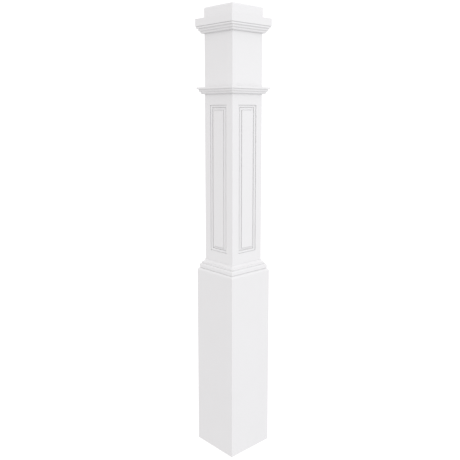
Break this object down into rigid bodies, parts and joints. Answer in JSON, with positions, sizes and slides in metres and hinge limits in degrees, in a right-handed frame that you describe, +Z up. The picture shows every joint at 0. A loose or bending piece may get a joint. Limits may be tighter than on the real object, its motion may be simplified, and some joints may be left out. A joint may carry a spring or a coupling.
{
  "type": "box newel post",
  "caption": "Square hollow newel post of painted boards, with a wrapped base, raised panels, planted mouldings and a stepped cap.",
  "frame": {"origin": "on the floor, on the middle line of the post, at the underside of the boards", "axes": "+Z up along the post; the four like sides face -Y (front), +X (right), +Y (back) and -X (left)"},
  "size_m": [0.168, 0.168, 1.419],
  "materials": {
    "painted_boards": "satin white paint outside, bare planed wood inside",
    "painted_mouldings": "satin white paint",
    "painted_cap": "satin white paint"
  },
  "bodies": {
    "root": {"shaft_board_front": "painted_boards", "shaft_board_right": "painted_boards", "shaft_board_back": "painted_boards", "shaft_board_left": "painted_boards", "base_board_front": "painted_boards", "base_board_right": "painted_boards", "base_board_back": "painted_boards", "base_board_left": "painted_boards", "base_moulding_front": "painted_mouldings", "base_moulding_right": "painted_mouldings", "base_moulding_back": "painted_mouldings", "base_moulding_left": "painted_mouldings", "neck_moulding_front": "painted_mouldings", "neck_moulding_right": "painted_mouldings", "neck_moulding_back": "painted_mouldings", "neck_moulding_left": "painted_mouldings", "cap_moulding_front": "painted_mouldings", "cap_moulding_right": "painted_mouldings", "cap_moulding_back": "painted_mouldings", "cap_moulding_left": "painted_mouldings", "cap_plate": "painted_cap", "cap_block": "painted_cap"}
  },
  "joints": []
}
